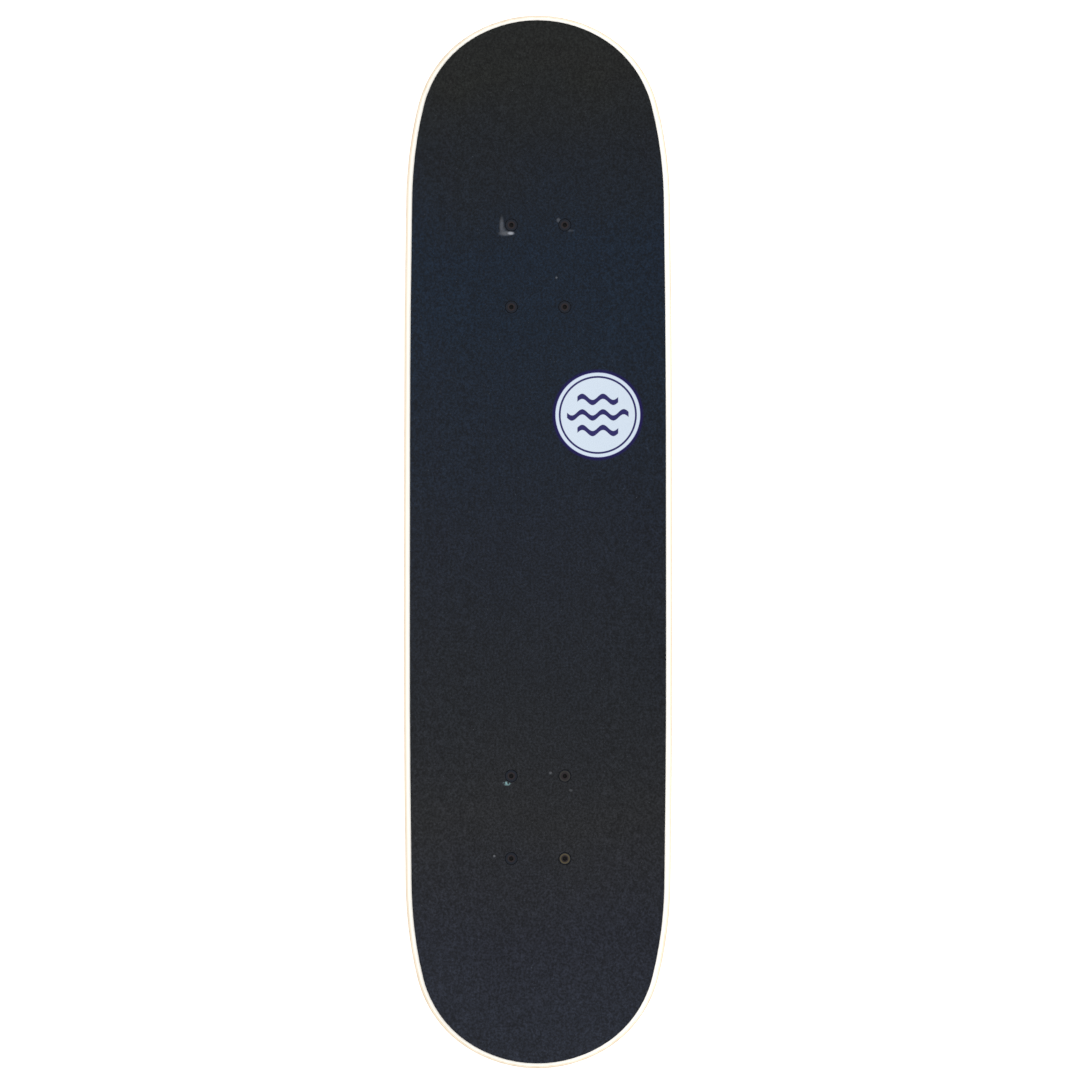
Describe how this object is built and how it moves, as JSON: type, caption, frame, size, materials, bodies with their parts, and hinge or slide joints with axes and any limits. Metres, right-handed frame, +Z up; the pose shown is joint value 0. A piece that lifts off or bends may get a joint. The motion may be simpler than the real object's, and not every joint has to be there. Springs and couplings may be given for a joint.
{
  "type": "skateboard",
  "caption": "Double-kick street skateboard: seven-ply maple deck with black grip tape, kingpin trucks that steer, and urethane wheels on ball bearings.",
  "frame": {"origin": "on the floor under the middle of the board, which stands on its four wheels; taken from the bounding box", "axes": "+X towards the nose, +Y to the rider's left, +Z up"},
  "size_m": [0.8, 0.2064, 0.1326],
  "materials": {
    "maple_outer": "satin clear lacquer over a pale maple face veneer",
    "maple_core": "pressed maple veneer, sanded edge, grain lengthwise",
    "maple_cross": "pressed maple veneer, sanded edge, grain crosswise",
    "grip": "black silicon carbide grit on a self-adhesive film, matte and very rough",
    "badge_print": null,
    "black_steel": "black oxide screws",
    "zinc_steel": "bright zinc plating",
    "cast_aluminium": "die-cast, tumbled, lightly satin",
    "cup_urethane": "black urethane",
    "bushing_urethane": "translucent red urethane, satin",
    "axle_steel": "ground alloy steel with rolled threads at both ends",
    "spacer_aluminium": "turned",
    "bearing_steel": "ground and polished chrome steel",
    "wheel_urethane": "cast off-white urethane, satin tread",
    "cage_nylon": "moulded natural nylon",
    "seal_rubber": "moulded black rubber seal"
  },
  "bodies": {
    "board": {"ply_bottom": "maple_outer", "ply_2": "maple_core", "ply_3": "maple_cross", "ply_4": "maple_core", "ply_5": "maple_cross", "ply_6": "maple_core", "ply_top": "maple_outer", "griptape": "grip", "badge": "badge_print", "mounting_bolts": "black_steel", "mounting_nuts": "zinc_steel", "baseplate_front": "cast_aluminium", "pivot_cup_front": "cup_urethane", "kingpin_front": "zinc_steel", "kingpin_nut_front": "zinc_steel", "washer_bottom_front": "zinc_steel", "washer_top_front": "zinc_steel", "bushing_bottom_front": "bushing_urethane", "bushing_top_front": "bushing_urethane", "baseplate_rear": "cast_aluminium", "pivot_cup_rear": "cup_urethane", "kingpin_rear": "zinc_steel", "kingpin_nut_rear": "zinc_steel", "washer_bottom_rear": "zinc_steel", "washer_top_rear": "zinc_steel", "bushing_bottom_rear": "bushing_urethane", "bushing_top_rear": "bushing_urethane"},
    "hanger_front": {"hanger_front": "cast_aluminium", "axle_front": "axle_steel", "axle_nuts_front": "zinc_steel", "speed_washers_front": "zinc_steel", "bearing_spacers_front": "spacer_aluminium", "inner_races_front": "bearing_steel"},
    "hanger_rear": {"hanger_rear": "cast_aluminium", "axle_rear": "axle_steel", "axle_nuts_rear": "zinc_steel", "speed_washers_rear": "zinc_steel", "bearing_spacers_rear": "spacer_aluminium", "inner_races_rear": "bearing_steel"},
    "wheel_front_left": {"wheel_front_left": "wheel_urethane", "outer_races_front_left": "bearing_steel", "shields_front_left": "seal_rubber"},
    "ball_set_front_left": {"balls_front_left": "bearing_steel", "cages_front_left": "cage_nylon"},
    "wheel_front_right": {"wheel_front_right": "wheel_urethane", "outer_races_front_right": "bearing_steel", "shields_front_right": "seal_rubber"},
    "ball_set_front_right": {"balls_front_right": "bearing_steel", "cages_front_right": "cage_nylon"},
    "wheel_rear_left": {"wheel_rear_left": "wheel_urethane", "outer_races_rear_left": "bearing_steel", "shields_rear_left": "seal_rubber"},
    "ball_set_rear_left": {"balls_rear_left": "bearing_steel", "cages_rear_left": "cage_nylon"},
    "wheel_rear_right": {"wheel_rear_right": "wheel_urethane", "outer_races_rear_right": "bearing_steel", "shields_rear_right": "seal_rubber"},
    "ball_set_rear_right": {"balls_rear_right": "bearing_steel", "cages_rear_right": "cage_nylon"}
  },
  "joints": [
    {"name": "steer_front", "type": "hinge", "parent": "board", "child": "hanger_front", "pos_m": [0.2377, 0, 0.065], "axis": [0.866, 0, 0.5], "range_deg": [-15, 15], "stiffness_Nm_per_rad": 60, "deforming": ["bushing_bottom_front", "bushing_top_front"]},
    {"name": "steer_rear", "type": "hinge", "parent": "board", "child": "hanger_rear", "pos_m": [-0.2377, 0, 0.065], "axis": [-0.866, 0, 0.5], "range_deg": [-15, 15], "stiffness_Nm_per_rad": 60, "deforming": ["bushing_bottom_rear", "bushing_top_rear"]},
    {"name": "spin_front_left", "type": "hinge", "parent": "hanger_front", "child": "wheel_front_left", "pos_m": [0.2217, 0.07615, 0.026], "axis": [0, 1, 0], "continuous": true},
    {"name": "cage_front_left", "type": "hinge", "parent": "hanger_front", "child": "ball_set_front_left", "pos_m": [0.2217, 0.07615, 0.026], "axis": [0, 1, 0], "continuous": true},
    {"name": "spin_front_right", "type": "hinge", "parent": "hanger_front", "child": "wheel_front_right", "pos_m": [0.2217, -0.07615, 0.026], "axis": [0, 1, 0], "continuous": true},
    {"name": "cage_front_right", "type": "hinge", "parent": "hanger_front", "child": "ball_set_front_right", "pos_m": [0.2217, -0.07615, 0.026], "axis": [0, 1, 0], "continuous": true},
    {"name": "spin_rear_left", "type": "hinge", "parent": "hanger_rear", "child": "wheel_rear_left", "pos_m": [-0.2217, 0.07615, 0.026], "axis": [0, 1, 0], "continuous": true},
    {"name": "cage_rear_left", "type": "hinge", "parent": "hanger_rear", "child": "ball_set_rear_left", "pos_m": [-0.2217, 0.07615, 0.026], "axis": [0, 1, 0], "continuous": true},
    {"name": "spin_rear_right", "type": "hinge", "parent": "hanger_rear", "child": "wheel_rear_right", "pos_m": [-0.2217, -0.07615, 0.026], "axis": [0, 1, 0], "continuous": true},
    {"name": "cage_rear_right", "type": "hinge", "parent": "hanger_rear", "child": "ball_set_rear_right", "pos_m": [-0.2217, -0.07615, 0.026], "axis": [0, 1, 0], "continuous": true}
  ],
  "couplings": [
    {"joint": "cage_front_left", "follows": "spin_front_left", "ratio": 0.6323},
    {"joint": "cage_front_right", "follows": "spin_front_right", "ratio": 0.6323},
    {"joint": "cage_rear_left", "follows": "spin_rear_left", "ratio": 0.6323},
    {"joint": "cage_rear_right", "follows": "spin_rear_right", "ratio": 0.6323}
  ]
}
